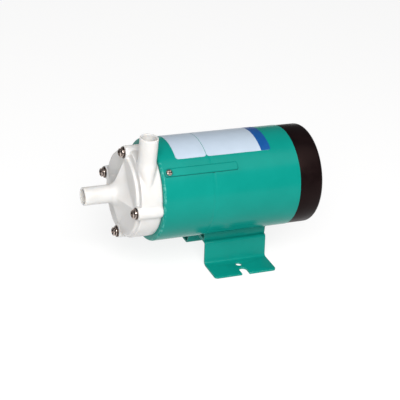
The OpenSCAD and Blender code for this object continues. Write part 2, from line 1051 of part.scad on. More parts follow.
// Solid under one half of the base: web, rounded shoulder, sloping leg and rounded heel.
// depth is how far it lies inside the base's outer surface.
module base_block(depth, run) {
    s = sin(leg_slope);
    c = cos(leg_slope);
    shoulder = [web_half, web_top - bend_out];
    heel_z = bend_in + base_sheet;
    leg = (shoulder[1] - heel_z + (bend_out + bend_in) * s) / c;
    heel = [web_half + (bend_out + bend_in) * c + leg * s, heel_z];
    leg_top = shoulder + (bend_out - depth) * [c, s];
    leg_end = heel - (bend_in + depth) * [c, s];
    foot_top = base_sheet - depth;
    difference() {
        union() {
            along_base(run)
                polygon([
                    [-past, -past],
                    [-past, web_top - depth],
                    [web_half, web_top - depth],
                    shoulder,
                    leg_top,
                    leg_end,
                    heel,
                    [heel[0], foot_top],
                    [base_w / 2, foot_top],
                    [base_w / 2, -past]
                ]);
            along_base(run)
                translate(shoulder)
                    circle(r = bend_out - depth);
        }
        along_base(run + 2 * past)
            translate(heel)
                circle(r = bend_in + depth);
    }
}

// Folded sheet of the base, before its corners and holes.
module base_sheet_fold() {
    difference() {
        for (side = [0, 1])
            mirror([0, side, 0])
                base_block(0, base_len);
        for (side = [0, 1])
            mirror([0, side, 0])
                base_block(base_sheet, base_len + 2 * past);
        translate([-base_len, -base_w, -4 * past])
            cube([2 * base_len, 2 * base_w, 4 * past]);
    }
}

// Plan of the base with rounded corners.
module base_plan() {
    square([base_len - 2 * foot_corner, base_w], center = true);
    square([base_len, base_w - 2 * foot_corner], center = true);
    for (x = [-1, 1], y = [-1, 1])
        translate([x * (base_len / 2 - foot_corner), y * (base_w / 2 - foot_corner)])
            circle(r = foot_corner);
}

module base_bracket() {
    slot_y = base_w / 2 - slot_depth + slot_w / 2;
    color(green)
    difference() {
        intersection() {
            base_sheet_fold();
            translate([0, 0, -past])
                linear_extrude(height = web_top + 2 * past)
                    base_plan();
        }
        for (side = [-1, 1]) {
            translate([0, side * hole_spacing / 2, -past])
                cylinder(h = base_sheet + 2 * past, r = hole_d / 2);
            translate([0, side * slot_y, -past])
                cylinder(h = base_sheet + 2 * past, r = slot_w / 2);
            translate([-slot_w / 2, side * (slot_y + slot_depth / 2) - slot_depth / 2, -past])
                cube([slot_w, slot_depth, base_sheet + 2 * past]);
        }
        for (x = [-base_bolt_x, base_bolt_x])
            translate([x, 0, web_top - base_sheet - past])
                cylinder(h = base_sheet + 2 * past, r = base_bolt_r);
    }
}

module base_bolts() {
    head_z = web_top - base_sheet;
    color(steel)
    for (x = [-base_bolt_x, base_bolt_x])
        translate([x, 0, head_z]) {
            translate([0, 0, -base_bolt_head])
                cylinder(h = base_bolt_head, r = base_nut_r, $fn = 6);
            cylinder(h = base_sheet + saddle_sheet + base_nut_t + 1, r = base_bolt_r);
        }
}

module base_nuts() {
    color(steel)
    for (x = [-base_bolt_x, base_bolt_x])
        translate([x, 0, web_top + saddle_sheet])
            difference() {
                cylinder(h = base_nut_t, r = base_nut_r, $fn = 6);
                translate([0, 0, -past])
                    cylinder(h = base_nut_t + 2 * past, r = base_bolt_r);
            }
}

front_cover();
volute_casing();
cover_seal();
rear_casing();
casing_seal();
spindle();
front_thrust_ring();
rear_thrust_ring();
casing_screws();
spring_washers();
flat_washers();
front_bracket();
motor_shell();
shell_screws();
stator_core();
stator_winding();
front_outer_race();
front_balls();
rear_outer_race();
rear_balls();
rear_shield();
run_capacitor();
rear_cap();
cap_screws();
cable_entry();
saddle();
base_bracket();
base_bolts();
base_nuts();
motor_shaft();
rotor_core();
rotor_cage();
front_inner_race();
rear_inner_race();
drive_yoke();
drive_magnets();
yoke_screw();
cooling_fan();
fan_clip();
impeller();
magnet_capsule();
driven_magnet();
impeller_bush();
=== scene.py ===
"""Magnetic drive pump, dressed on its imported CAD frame.

Metres, +Z up, shaft along X, suction towards -X.
"""

import math

import bmesh
import bpy
from mathutils import Matrix, Vector


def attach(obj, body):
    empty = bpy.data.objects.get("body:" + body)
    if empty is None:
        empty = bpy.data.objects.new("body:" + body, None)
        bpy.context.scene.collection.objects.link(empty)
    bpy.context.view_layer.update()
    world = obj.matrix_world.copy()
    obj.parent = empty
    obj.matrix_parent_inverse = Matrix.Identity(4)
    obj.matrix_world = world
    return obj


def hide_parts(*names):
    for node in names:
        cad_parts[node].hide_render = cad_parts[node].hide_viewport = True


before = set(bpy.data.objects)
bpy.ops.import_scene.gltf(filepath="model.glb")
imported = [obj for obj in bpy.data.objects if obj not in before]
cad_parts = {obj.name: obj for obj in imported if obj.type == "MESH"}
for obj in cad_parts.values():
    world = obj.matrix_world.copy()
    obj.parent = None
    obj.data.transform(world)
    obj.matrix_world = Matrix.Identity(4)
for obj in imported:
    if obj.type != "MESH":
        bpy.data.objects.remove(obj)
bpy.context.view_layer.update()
scene = bpy.context.scene
MM = 0.001
FULL_TURN = 2 * math.pi

# Node kinds used most
MATH = "ShaderNodeMath"
VECTOR = "ShaderNodeCombineXYZ"
RANGE = "ShaderNodeMapRange"
TRANSFORM = "GeometryNodeTransform"

# Sizes in millimetres, as in the part's source
AXIS_H = 79.0
SHELL_R = 48.5
SHELL_WALL = 1.2
SHELL_FRONT = -93.1
SHELL_REAR = 46.4
SHELL_ROUND = 2.0
SHELL_LIP = 4.6
STRIP_HALF = 4.7
STRIP_END = -16.2
STRIP_RISE = 0.7
STRIP_CORNER = 2.8
STRIP_SIDE = 1.5
STRIP_ANGLE = 45.0
GROOVE_X = -42.1
GROOVE_HALF = 2.3
GROOVE_DEPTH = 0.24
SHELL_SCREW_X = -85.9
SHELL_SEAT_R = SHELL_R + STRIP_RISE - 0.45
TUBE_R = 8.65
COVER_X = -116.5
COVER_T = 3.0
COVER_R = 38.5
FRONT_RISE = 9.0
RISE_X = COVER_X - FRONT_RISE
RIDGE_REACH = 33.5
BOSS_X = -117.5
SPRING_X = BOSS_X - 1.8
SCREW_SEAT_X = BOSS_X - 2.45
NOZZLE_X = -104.4
NOZZLE_Y = -25.1
SCREW_CIRCLE_R = 41.5
CAP_END = 71.2
CAP_SEAT_X = CAP_END - 2.0
CAP_CIRCLE_R = 40.0
ENTRY_CIRCLE_R = 37.0
FLAT_WASHER = {"Outer radius": 5.6, "Bore radius": 2.5, "Thickness": 1.1, "Edge round": 0.4}
SPRING_WASHER = {"Mean radius": 3.95, "Section": 1.2, "Spring": 0.15, "Edge round": 0.4}
CASING_SCREW = {
    "Head radius": 4.2, "Head height": 2.75, "Shank radius": 2.5, "Shank length": 38.0,
}
CAP_SCREW = {"Head radius": 3.3, "Head height": 2.0, "Shank radius": 1.7, "Shank length": 26.0}
SHELL_SCREW = {"Head radius": 2.8, "Head height": 2.0, "Shank radius": 1.5, "Shank length": 5.5}


# Camera: degrees, millimetres for its aim, metres for its distance

CAMERA_TURN = -26.8
CAMERA_RISE = 28.17
CAMERA_ROLL = -6.57
CAMERA_AIM = (-34.21, 0.0, 60.49)
CAMERA_DISTANCE = 1.29045
CAMERA_LENS = 121.24


def place_camera():
    """Camera at the photograph's viewing angle and distance."""
    azimuth, elevation, roll = map(math.radians, (CAMERA_TURN, CAMERA_RISE, CAMERA_ROLL))
    back = Vector((
        math.sin(azimuth) * math.cos(elevation),
        -math.cos(azimuth) * math.cos(elevation),
        math.sin(elevation),
    ))
    right = Vector((math.cos(azimuth), math.sin(azimuth), 0.0))
    up = back.cross(right)
    turned_right = math.cos(roll) * right - math.sin(roll) * up
    turned_up = math.cos(roll) * up + math.sin(roll) * right
    data = bpy.data.cameras.new("camera")
    data.sensor_fit = "HORIZONTAL"
    data.sensor_width = 36.0
    data.lens = CAMERA_LENS
    data.clip_start = 0.05
    data.clip_end = 30.0
    camera = bpy.data.objects.new("camera", data)
    scene.collection.objects.link(camera)
    turn = Matrix((turned_right, turned_up, back)).transposed().to_4x4()
    place = Vector(CAMERA_AIM) * MM + back * CAMERA_DISTANCE
    camera.matrix_world = Matrix.Translation(place) @ turn
    scene.camera = camera


# Studio: a pale floor and soft lights, each with its direction from the pump, its distance and
# width in metres, its power in watts and its tint

LIGHTS = {
    "front": ((-0.28, -0.70, 0.65), 1.6, 1.0, 38.0, (1.0, 0.985, 0.97)),
    "above": ((0.3, -0.4, 0.86), 1.4, 0.9, 4.5, (1.0, 0.99, 0.98)),
    "glint": ((0.22, -0.70, 0.67), 1.4, 0.8, 12.0, (1.0, 0.98, 0.97)),
}
LIGHT_CENTRE = (-0.03, 0.0, 0.07)
SKY_STRENGTH = 0.16
FLOOR_HALF = 20.0
FLOOR_Z = -0.0006


def add_light(name):
    """Square soft light of the table, turned to the pump."""
    toward, distance, size, power, tint = LIGHTS[name]
    toward = Vector(toward).normalized()
    data = bpy.data.lights.new(name, "AREA")
    data.shape = "SQUARE"
    data.size = size
    data.energy = power
    data.color = tint
    light = bpy.data.objects.new(name, data)
    scene.collection.objects.link(light)
    light.location = Vector(LIGHT_CENTRE) + toward * distance
    light.rotation_euler = toward.to_track_quat("Z", "Y").to_euler()
    return light


def build_studio():
    """Even pale surroundings, two lights and the floor."""
    scene.view_settings.view_transform = "Standard"
    scene.view_settings.look = "None"
    world = bpy.data.worlds.new("studio")
    scene.world = world
    world.use_nodes = True
    background = world.node_tree.nodes["Background"]
    background.inputs["Color"].default_value = (1.0, 1.0, 1.0, 1.0)
    background.inputs["Strength"].default_value = SKY_STRENGTH
    add_light("front")
    add_light("above")

    mesh = bpy.data.meshes.new("floor")
    corners = [(-1, -1), (1, -1), (1, 1), (-1, 1)]
    mesh.from_pydata(
        [(FLOOR_HALF * x, FLOOR_HALF * y, FLOOR_Z) for x, y in corners], [], [(0, 1, 2, 3)],
    )
    floor = bpy.data.objects.new("floor", mesh)
    scene.collection.objects.link(floor)
    mesh.materials.append(lit_paper())


# Materials

# Where most values of a noise lie
NOISE_LOW, NOISE_HIGH = 0.3, 0.7
# Chips: size in millimetres, the noise that they start and end at, and where across the pump the
# chips and the painted edge highlight fade in
CHIP_SIZE = 3.5
CHIP_FROM, CHIP_TO = 0.44, 0.7
RUBBED_LIT_FROM, RUBBED_LIT_TO = -5.0, -35.0
# Share of the dark green that a full coat of painted shade gives
PAINTED_SHADE_SHARE = 0.85


def linear(code):
    """sRGB hex to linear RGBA."""
    values = [int(code[i:i + 2], 16) / 255 for i in (1, 3, 5)]
    return *(v / 12.92 if v <= 0.04045 else ((v + 0.055) / 1.055) ** 2.4 for v in values), 1.0


def add(tree, kind, inputs=None, **settings):
    """Adds a node with its settings.

    An input is a value, a socket, a node for its first output, or a list of these.
    """
    node = tree.nodes.new(kind)
    for name, value in settings.items():
        setattr(node, name, value)
    for name, value in (inputs or {}).items():
        for one in value if isinstance(value, list) else [value]:
            if isinstance(one, bpy.types.Node):
                tree.links.new(one.outputs[0], node.inputs[name])
            elif isinstance(one, bpy.types.NodeSocket):
                tree.links.new(one, node.inputs[name])
            else:
                node.inputs[name].default_value = one
    return node


def begin(name, sockets=None):
    """New material with shader constants: it, its tree, its shader and its Object coordinates."""
    material = bpy.data.materials.new(name)
    material.use_nodes = True
    tree = material.node_tree
    shader = tree.nodes["Principled BSDF"]
    for socket, value in (sockets or {}).items():
        shader.inputs[socket].default_value = value
    return material, tree, shader, add(tree, "ShaderNodeTexCoord").outputs["Object"]


def per_mm(size):
    """Noise scale whose features are about this many millimetres across."""
    return 1000.0 / size


def finish_surface(
    tree, shader, place, tones, patch, rough, grain, depth, stretch=(1.0, 1.0, 1.0),
):
    """Colour patches, uneven gloss and a fine bump, with their sizes in millimetres."""
    place = add(tree, "ShaderNodeMapping", {"Vector": place, "Scale": stretch})
    patches = add(tree, "ShaderNodeTexNoise", {
        "Vector": place, "Scale": per_mm(patch), "Detail": 3.0, "Roughness": 0.55,
    })
    colour = add(tree, "ShaderNodeValToRGB", {"Fac": patches})
    stops = zip(colour.color_ramp.elements, (NOISE_LOW, NOISE_HIGH), tones)
    for stop, position, tone in stops:
        stop.position = position
        stop.color = linear(tone)
    gloss = add(tree, RANGE, {
        "Value": patches, "From Min": NOISE_LOW, "From Max": NOISE_HIGH,
        "To Min": rough[0], "To Max": rough[1],
    })
    fine = add(tree, "ShaderNodeTexNoise", {
        "Vector": place, "Scale": per_mm(grain), "Detail": 2.0, "Roughness": 0.5,
    })
    bump = add(tree, "ShaderNodeBump", {"Height": fine, "Distance": depth * MM})
    tree.links.new(colour.outputs["Color"], shader.inputs["Base Color"])
    tree.links.new(gloss.outputs["Result"], shader.inputs["Roughness"])
    tree.links.new(bump.outputs["Normal"], shader.inputs["Normal"])
    return colour, bump


def plain_finish(name, sockets=None, **finish):
    """Material that is one finished surface and constants."""
    material, tree, shader, place = begin(name, sockets)
    finish_surface(tree, shader, place, **finish)
    return material


def lit_paper():
    """Seamless studio paper: matt, almost white, lit from below so that shadows stay faint."""
    return begin("lit_paper", {
        "Base Color": linear("#737373"), "Roughness": 0.9, "Specular IOR Level": 0.1,
        "Emission Color": (1.0, 1.0, 1.0, 1.0), "Emission Strength": 0.83,
    })[0]


def moulded_polypropylene():
    """Natural white polypropylene: a waxy half gloss, faint flow clouds, light that sinks in."""
    # The texture of the mould is about 0.1 mm, drawn at 0.9 mm so that it shows.
    return plain_finish(
        "moulded_polypropylene",
        {
            "IOR": 1.49, "Subsurface Weight": 0.5, "Subsurface Radius": (1.0, 0.85, 0.7),
            "Subsurface Scale": 0.006,
        },
        tones=("#C5C4C2", "#CBCAC9"), patch=14.0, rough=(0.34, 0.44), grain=0.9, depth=0.01,
    )


def enamel_finish(name, **finish):
    """Enamel with pale chips and a painted highlight where a piece's edges are marked, and painted
    shade where it is creased.
    """
    material, tree, shader, place = begin(name, {"IOR": 1.46, "Specular IOR Level": 0.12})
    colour, _ = finish_surface(tree, shader, place, **finish)
    worn_and_lit = add(tree, "ShaderNodeAttribute", attribute_name="wear")
    chips = add(tree, "ShaderNodeTexNoise", {
        "Vector": place, "Scale": per_mm(CHIP_SIZE), "Detail": 4.0,
    })
    gone = add(tree, RANGE, {"Value": chips, "From Min": CHIP_FROM, "From Max": CHIP_TO})
    # The edges are paler on the near side: partly rubbed paint, partly a painted highlight along
    # their rounding.
    across = add(tree, "ShaderNodeSeparateXYZ", {"Vector": place}).outputs["Y"]
    rubbed_and_lit = add(tree, RANGE, {
        "Value": across, "From Min": RUBBED_LIT_FROM * MM, "From Max": RUBBED_LIT_TO * MM,
    })
    worn_and_lit_edge = add(tree, MATH, {0: rubbed_and_lit, 1: worn_and_lit.outputs["Fac"]}, operation="MULTIPLY")
    bare = add(tree, MATH, {0: gone, 1: worn_and_lit_edge}, operation="MULTIPLY")
    # A colour mix has its factor, two colours and result at sockets 0, 6, 7 and 2.
    # Pale colour of the chips and of the painted edge highlight
    mixed = add(tree, "ShaderNodeMix", {0: bare, 6: colour, 7: linear("#62AB9F")}, data_type="RGBA")
    # Painted shade: the enamel is mixed towards a dark green where the crease and the screw ring
    # are marked
    grime = add(tree, "ShaderNodeAttribute", attribute_name="grime")
    shade_amount = add(tree, MATH, {0: grime.outputs["Fac"], 1: PAINTED_SHADE_SHARE}, operation="MULTIPLY")
    shaded_colour = add(tree, "ShaderNodeMix", {
        0: shade_amount, 6: mixed.outputs[2], 7: linear("#02332E"),
    }, data_type="RGBA")
    tree.links.new(shaded_colour.outputs[2], shader.inputs["Base Color"])
    return material


def sprayed_enamel():
    """Blue-green machine enamel on steel: even gloss, slight orange peel, chipped edges with a
    painted highlight.
    """
    return enamel_finish(
        "sprayed_enamel",
        tones=("#067C71", "#098176"), patch=26.0, rough=(0.2, 0.26), grain=2.2, depth=0.014,
    )


def enamelled_casting():
    """The same enamel on the cast front bracket: thicker, over the casting's coarser skin."""
    return enamel_finish(
        "enamelled_casting",
        tones=("#04756B", "#078076"), patch=12.0, rough=(0.26, 0.36), grain=1.6, depth=0.05,
    )


def moulded_abs():
    """Black ABS of the rear cap: a warm black whose fine spark-eroded grain breaks the gloss."""
    # The grain is about 0.15 mm, drawn at 0.7 mm so that it shows.
    return plain_finish(
        "moulded_abs",
        {"IOR": 1.52, "Specular IOR Level": 0.09, "Specular Tint": linear("#FFD2C8")},
        tones=("#0D0708", "#120A0B"), patch=9.0, rough=(0.3, 0.4), grain=0.7, depth=0.02,
    )


def pale_vinyl():
    """White vinyl label stock: smooth, cool white, with a light gloss."""
    return plain_finish(
        "pale_vinyl",
        tones=("#A7B5C4", "#ADBBCA"), patch=18.0, rough=(0.3, 0.38), grain=1.2, depth=0.004,
    )


def blue_ink_vinyl():
    """Blue printed end of the label: flat ink of slightly uneven gloss."""
    return plain_finish(
        "blue_ink_vinyl", {"Specular IOR Level": 0.25},
        tones=("#0C4684", "#114B8B"), patch=6.0, rough=(0.32, 0.42), grain=0.8, depth=0.004,
    )


def rolled_stainless():
    """Stainless screws and spring washers: bright, faintly drawn, with a painted dark reflection on
    the driven faces.
    """
    material, tree, shader, place = begin("rolled_stainless", {"Metallic": 1.0})
    # The lines of rolling are about 0.05 mm, drawn at 0.5 mm so that they show.
    colour, _ = finish_surface(
        tree, shader, place,
        tones=("#9F9088", "#DCCEC6"), patch=2.5, rough=(0.14, 0.24), grain=0.5, depth=0.008,
    )
    # Painted dark reflection: the driven faces of the heads are mixed towards a dark brown
    painted_dark = add(tree, "ShaderNodeAttribute", attribute_name="grime")
    shaded_colour = add(tree, "ShaderNodeMix", {
        0: painted_dark.outputs["Fac"], 6: colour, 7: linear("#3A302C"),
    }, data_type="RGBA")
    tree.links.new(shaded_colour.outputs[2], shader.inputs["Base Color"])
    return material


def shade_darkened_stainless():
    """Punched flat washers: the same steel, dulled, its colour darkened as painted shade and dark
    reflection.
    """
    return plain_finish(
        "shade_darkened_stainless", {"Metallic": 1.0},
        tones=("#463D39", "#6F635D"), patch=2.5, rough=(0.2, 0.32), grain=0.5, depth=0.008,
    )


def ground_steel():
    """Ground bearing steel and shaft: bright, with fine lines round the turned surface."""
    # Grinding lines are a few hundredths of a millimetre, drawn ten times coarser to show.
    return plain_finish(
        "ground_steel", {"Metallic": 1.0},
        tones=("#A9ABAF", "#C2C3C6"), patch=3.0, rough=(0.16, 0.28), grain=0.35, depth=0.006,
        stretch=(6.0, 1.0, 1.0),
    )


def stacked_lamination():
    """Edges of stacked 0.5 mm silicon steel sheets: dark grey, close lines across the shaft."""
    return plain_finish(
        "stacked_lamination", {"Metallic": 0.8},
        tones=("#4A4E53", "#63676C"), patch=4.0, rough=(0.42, 0.58), grain=4.0, depth=0.05,
        stretch=(8.0, 1.0, 1.0),
    )


def black_oxide_steel():
    """Mild steel with a black oxide skin: dull, with warm grey patches."""
    return plain_finish(
        "black_oxide_steel", {"Metallic": 0.85},
        tones=("#3E3C3B", "#55524F"), patch=5.0, rough=(0.38, 0.55), grain=0.5, depth=0.012,
    )


def varnished_copper():
    """Varnished copper winding: rows of wire, red-brown and glossy."""
    material, tree, shader, place = begin("varnished_copper", {"Metallic": 0.7})
    _, bump = finish_surface(
        tree, shader, place,
        tones=("#8A4A20", "#B4662F"), patch=4.0, rough=(0.25, 0.4), grain=0.8, depth=0.02,
    )
    # The wire is about 0.5 mm thick, its rows drawn about 6 mm apart so that they show.
    wires = add(tree, "ShaderNodeTexWave", {
        "Vector": place, "Scale": per_mm(1.0) / 20, "Distortion": 2.0, "Detail": 1.0,
    }, bands_direction="Z")
    rows = add(tree, "ShaderNodeBump", {
        "Height": wires.outputs["Fac"], "Distance": 0.2 * MM, "Normal": bump,
    })
    tree.links.new(rows.outputs["Normal"], shader.inputs["Normal"])
    return material


def sand_cast_aluminium():
    """Cast aluminium: pale grey with a fine sandy skin."""
    return plain_finish(
        "sand_cast_aluminium", {"Metallic": 0.9},
        tones=("#9DA0A3", "#B9BBBD"), patch=6.0, rough=(0.45, 0.6), grain=0.9, depth=0.08,
    )


def sintered_ferrite():
    """Sintered ferrite magnet: charcoal, dense and slightly glittering."""
    return plain_finish(
        "sintered_ferrite",
        tones=("#2B2C2F", "#3A3B3F"), patch=2.0, rough=(0.45, 0.62), grain=0.4, depth=0.02,
    )


def fired_alumina():
    """Fired alumina: ivory, hard and smooth after grinding."""
    return plain_finish(
        "fired_alumina", {"IOR": 1.76},
        tones=("#E6DDC8", "#F0E9D8"), patch=5.0, rough=(0.18, 0.28), grain=0.5, depth=0.004,
    )


def glass_filled_polypropylene():
    """Glass-filled polypropylene: cool grey with short pale fibres at the surface."""
    return plain_finish(
        "glass_filled_polypropylene",
        tones=("#8F9497", "#A4A8AB"), patch=3.0, rough=(0.45, 0.58), grain=0.5, depth=0.02,
        stretch=(1.0, 3.0, 3.0),
    )


def pressed_carbon():
    """Pressed carbon bush: black grey and slightly greasy to look at."""
    return plain_finish(
        "pressed_carbon",
        tones=("#26272A", "#35363A"), patch=2.0, rough=(0.3, 0.42), grain=0.4, depth=0.008,
    )


def moulded_rubber():
    """Black rubber: matt, with a bloom that greys it in patches."""
    return plain_finish(
        "moulded_rubber",
        tones=("#1B1B1C", "#2A2A2B"), patch=4.0, rough=(0.62, 0.78), grain=0.6, depth=0.02,
    )


# Mesh helpers

def piece_from(name, mesh, body, slot, *nodes):
    """Makes a finished piece of a mesh, ties it to its body and hides its CAD nodes; slot is not
    used.
    """
    piece = bpy.data.objects.new(name, mesh)
    scene.collection.objects.link(piece)
    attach(piece, body)
    if nodes:
        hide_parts(*nodes)
    return piece


def applied(holder):
    """Mesh of an object with its modifiers worked in. The holder is removed."""
    bpy.context.view_layer.update()
    evaluated = holder.evaluated_get(bpy.context.evaluated_depsgraph_get())
    mesh = bpy.data.meshes.new_from_object(evaluated)
    holder.modifiers.clear()
    bpy.data.objects.remove(holder)
    return mesh


def merged_copy(*nodes):
    """The loose triangles of CAD nodes as one joined bmesh."""
    bm = bmesh.new()
    for node in nodes:
        bm.from_mesh(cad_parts[node].data)
    bmesh.ops.remove_doubles(bm, verts=bm.verts, dist=1e-6)
    return bm


def shade(mesh, crease):
    """Smooth shading apart from edges sharper than the crease in degrees."""
    mesh.shade_smooth()
    mesh.set_sharp_from_angle(angle=math.radians(crease))


def closed_mesh(name, bm, crease, outward=True):
    """Shaded mesh of a bmesh, which is freed."""
    if outward:
        bmesh.ops.recalc_face_normals(bm, faces=bm.faces)
    mesh = bpy.data.meshes.new(name)
    bm.to_mesh(mesh)
    bm.free()
    shade(mesh, crease)
    return mesh


def lathe(bm, profile, along, out, start, steps):
    """Closed ring turned from a profile of (station, radius) in millimetres, added to bm."""
    along, out, start = Vector(along), Vector(out), Vector(start)
    side = along.cross(out)
    rows = []
    for station, radius in profile:
        row = []
        for i in range(steps):
            a = FULL_TURN * i / steps
            spoke = (out * math.cos(a) + side * math.sin(a)) * radius
            row.append(bm.verts.new((start + along * station + spoke) * MM))
        rows.append(row)
    made = []
    for k, row in enumerate(rows):
        after = rows[(k + 1) % len(rows)]
        for i in range(steps):
            j = (i + 1) % steps
            made.append(bm.faces.new((row[i], row[j], after[j], after[i])))
    bmesh.ops.recalc_face_normals(bm, faces=made)


def moulding(name, bm, voxel, passes):
    """Merged solids fused into one skin on a voxel grid, in millimetres, and eased."""
    mesh = closed_mesh(name, bm, 180, outward=False)
    holder = bpy.data.objects.new(name + "_holder", mesh)
    scene.collection.objects.link(holder)
    fuse = holder.modifiers.new("fuse", "REMESH")
    fuse.mode = "VOXEL"
    fuse.voxel_size = voxel * MM
    fuse.use_smooth_shade = True
    ease = holder.modifiers.new("ease", "SMOOTH")
    ease.factor = 0.5
    ease.iterations = passes
    mesh = applied(holder)
    mesh.name = name
    mesh.shade_smooth()
    return mesh


def eased_edges(name, node, width, worn_and_lit=0.0):
    """Copy of a CAD node, its sharp edges rounded by a width in millimetres and marked for chips
    and a painted highlight.
    """
    flat, crease = 0.5, 35
    bm = merged_copy(node)
    bmesh.ops.dissolve_limit(
        bm, angle_limit=math.radians(flat), verts=bm.verts, edges=bm.edges,
    )
    limit = math.radians(crease)
    sharp = [e for e in bm.edges if e.is_manifold and e.calc_face_angle(0.0) > limit]
    made = bmesh.ops.bevel(
        bm, geom=sharp, offset=width * MM, offset_type="OFFSET", segments=2, profile=0.5,
        affect="EDGES", clamp_overlap=True,
    )
    layer = bm.loops.layers.float.new("wear")
    for face in made["faces"]:
        for corner in face.loops:
            corner[layer] = worn_and_lit
    bmesh.ops.triangulate(bm, faces=[f for f in bm.faces if len(f.verts) > 4])
    return closed_mesh(name, bm, crease, outward=False)


# Geometry node trees

def new_tree(name, inputs):
    """Geometry node tree with named inputs, given as name: socket type."""
    tree = bpy.data.node_groups.new(name, "GeometryNodeTree")
    tree.interface.new_socket("Geometry", in_out="OUTPUT", socket_type="NodeSocketGeometry")
    for label, kind in inputs.items():
        tree.interface.new_socket(label, in_out="INPUT", socket_type=kind)
    return tree, tree.nodes.new("NodeGroupInput").outputs


def close_tree(tree, given, geometry):
    """The tree, ended in real, painted geometry."""
    real = add(tree, "GeometryNodeRealizeInstances", {"Geometry": geometry})
    paint = {"Geometry": real, "Material": given["Material"]}
    add(tree, "NodeGroupOutput", {"Geometry": add(tree, "GeometryNodeSetMaterial", paint)})
    return tree


def grown(name, tree, lengths, others, crease):
    """Plain mesh that a tree gives for lengths in millimetres and other inputs."""
    values = {label: length * MM for label, length in lengths.items()} | others
    holder = bpy.data.objects.new(name + "_holder", bpy.data.meshes.new(name))
    modifier = holder.modifiers.new("grow", "NODES")
    modifier.node_group = tree
    for item in tree.interface.items_tree:
        if item.item_type == "SOCKET" and item.in_out == "INPUT":
            modifier[item.identifier] = values[item.name]
    scene.collection.objects.link(holder)
    mesh = applied(holder)
    mesh.name = name
    bm = bmesh.new()
    bm.from_mesh(mesh)
    bmesh.ops.recalc_face_normals(bm, faces=bm.faces)
    bm.to_mesh(mesh)
    bm.free()
    shade(mesh, crease)
    return mesh


def sized(*labels):
    """Inputs of a tree: these numbers and a material."""
    return {label: "NodeSocketFloat" for label in labels} | {"Material": "NodeSocketMaterial"}


def merged_sheets(tree, sheets):
    """Sheets made one mesh where their edges meet."""
    return add(tree, "GeometryNodeMergeByDistance", {
        "Geometry": add(tree, "GeometryNodeJoinGeometry", {"Geometry": sheets}),
        "Distance": 0.01 * MM,
    })


def on_axis(tree, given, parts):
    """Parts joined and lifted from the origin to the shaft line."""
    return add(tree, TRANSFORM, {
        "Geometry": add(tree, "GeometryNodeJoinGeometry", {"Geometry": parts}),
        "Translation": add(tree, VECTOR, {"Z": given["Axis height"]}),
    })


# Motor shell: a tube with a turned-in lip, a rolled groove and two pressed strips

SHELL_COLUMNS = 145
# Strength of the chips and painted highlight on the shell's front edge
EDGE_WEAR_AND_HIGHLIGHT = 0.7
# Strip sheet: millimetres beyond its outline and below the tube, and its start in edge rounds
STRIP_MARGIN = 0.5
STRIP_SUNK = -0.25
STRIP_START = 1.1
# Painted shade on the strip: shares of its side and of a full coat, and millimetres
CREASE_SHARE = 0.35
UPPER_SHADE = 0.1
SHADE_HALF = 2.0
RING_SHADE = 0.7
RING_FULL_R, RING_CLEAR_R = 2.6, 4.6


def open_sheet(tree, rows, columns, turn):
    """Flat grid to be wrapped: its mesh, its place along from 0 to 1, and its angle."""
    grid = add(tree, "GeometryNodeMeshGrid", {
        "Size X": 1.0, "Size Y": turn, "Vertices X": rows, "Vertices Y": columns,
    })
    at = add(tree, "ShaderNodeSeparateXYZ", {"Vector": add(tree, "GeometryNodeInputPosition")})
    along = add(tree, MATH, {0: at.outputs["X"], 1: 0.5}, operation="ADD")
    return grid.outputs["Mesh"], along, at.outputs["Y"]


def wrap(tree, mesh, station, radius, angle):
    """The grid bent round the X axis, angle 0 at the top and growing towards the near side."""
    point = add(tree, VECTOR, {"X": station, "Z": radius})
    turned = add(tree, "ShaderNodeVectorRotate", {
        "Vector": point, "Angle": angle,
    }, rotation_type="X_AXIS")
    return add(tree, "GeometryNodeSetPosition", {"Geometry": mesh, "Position": turned})


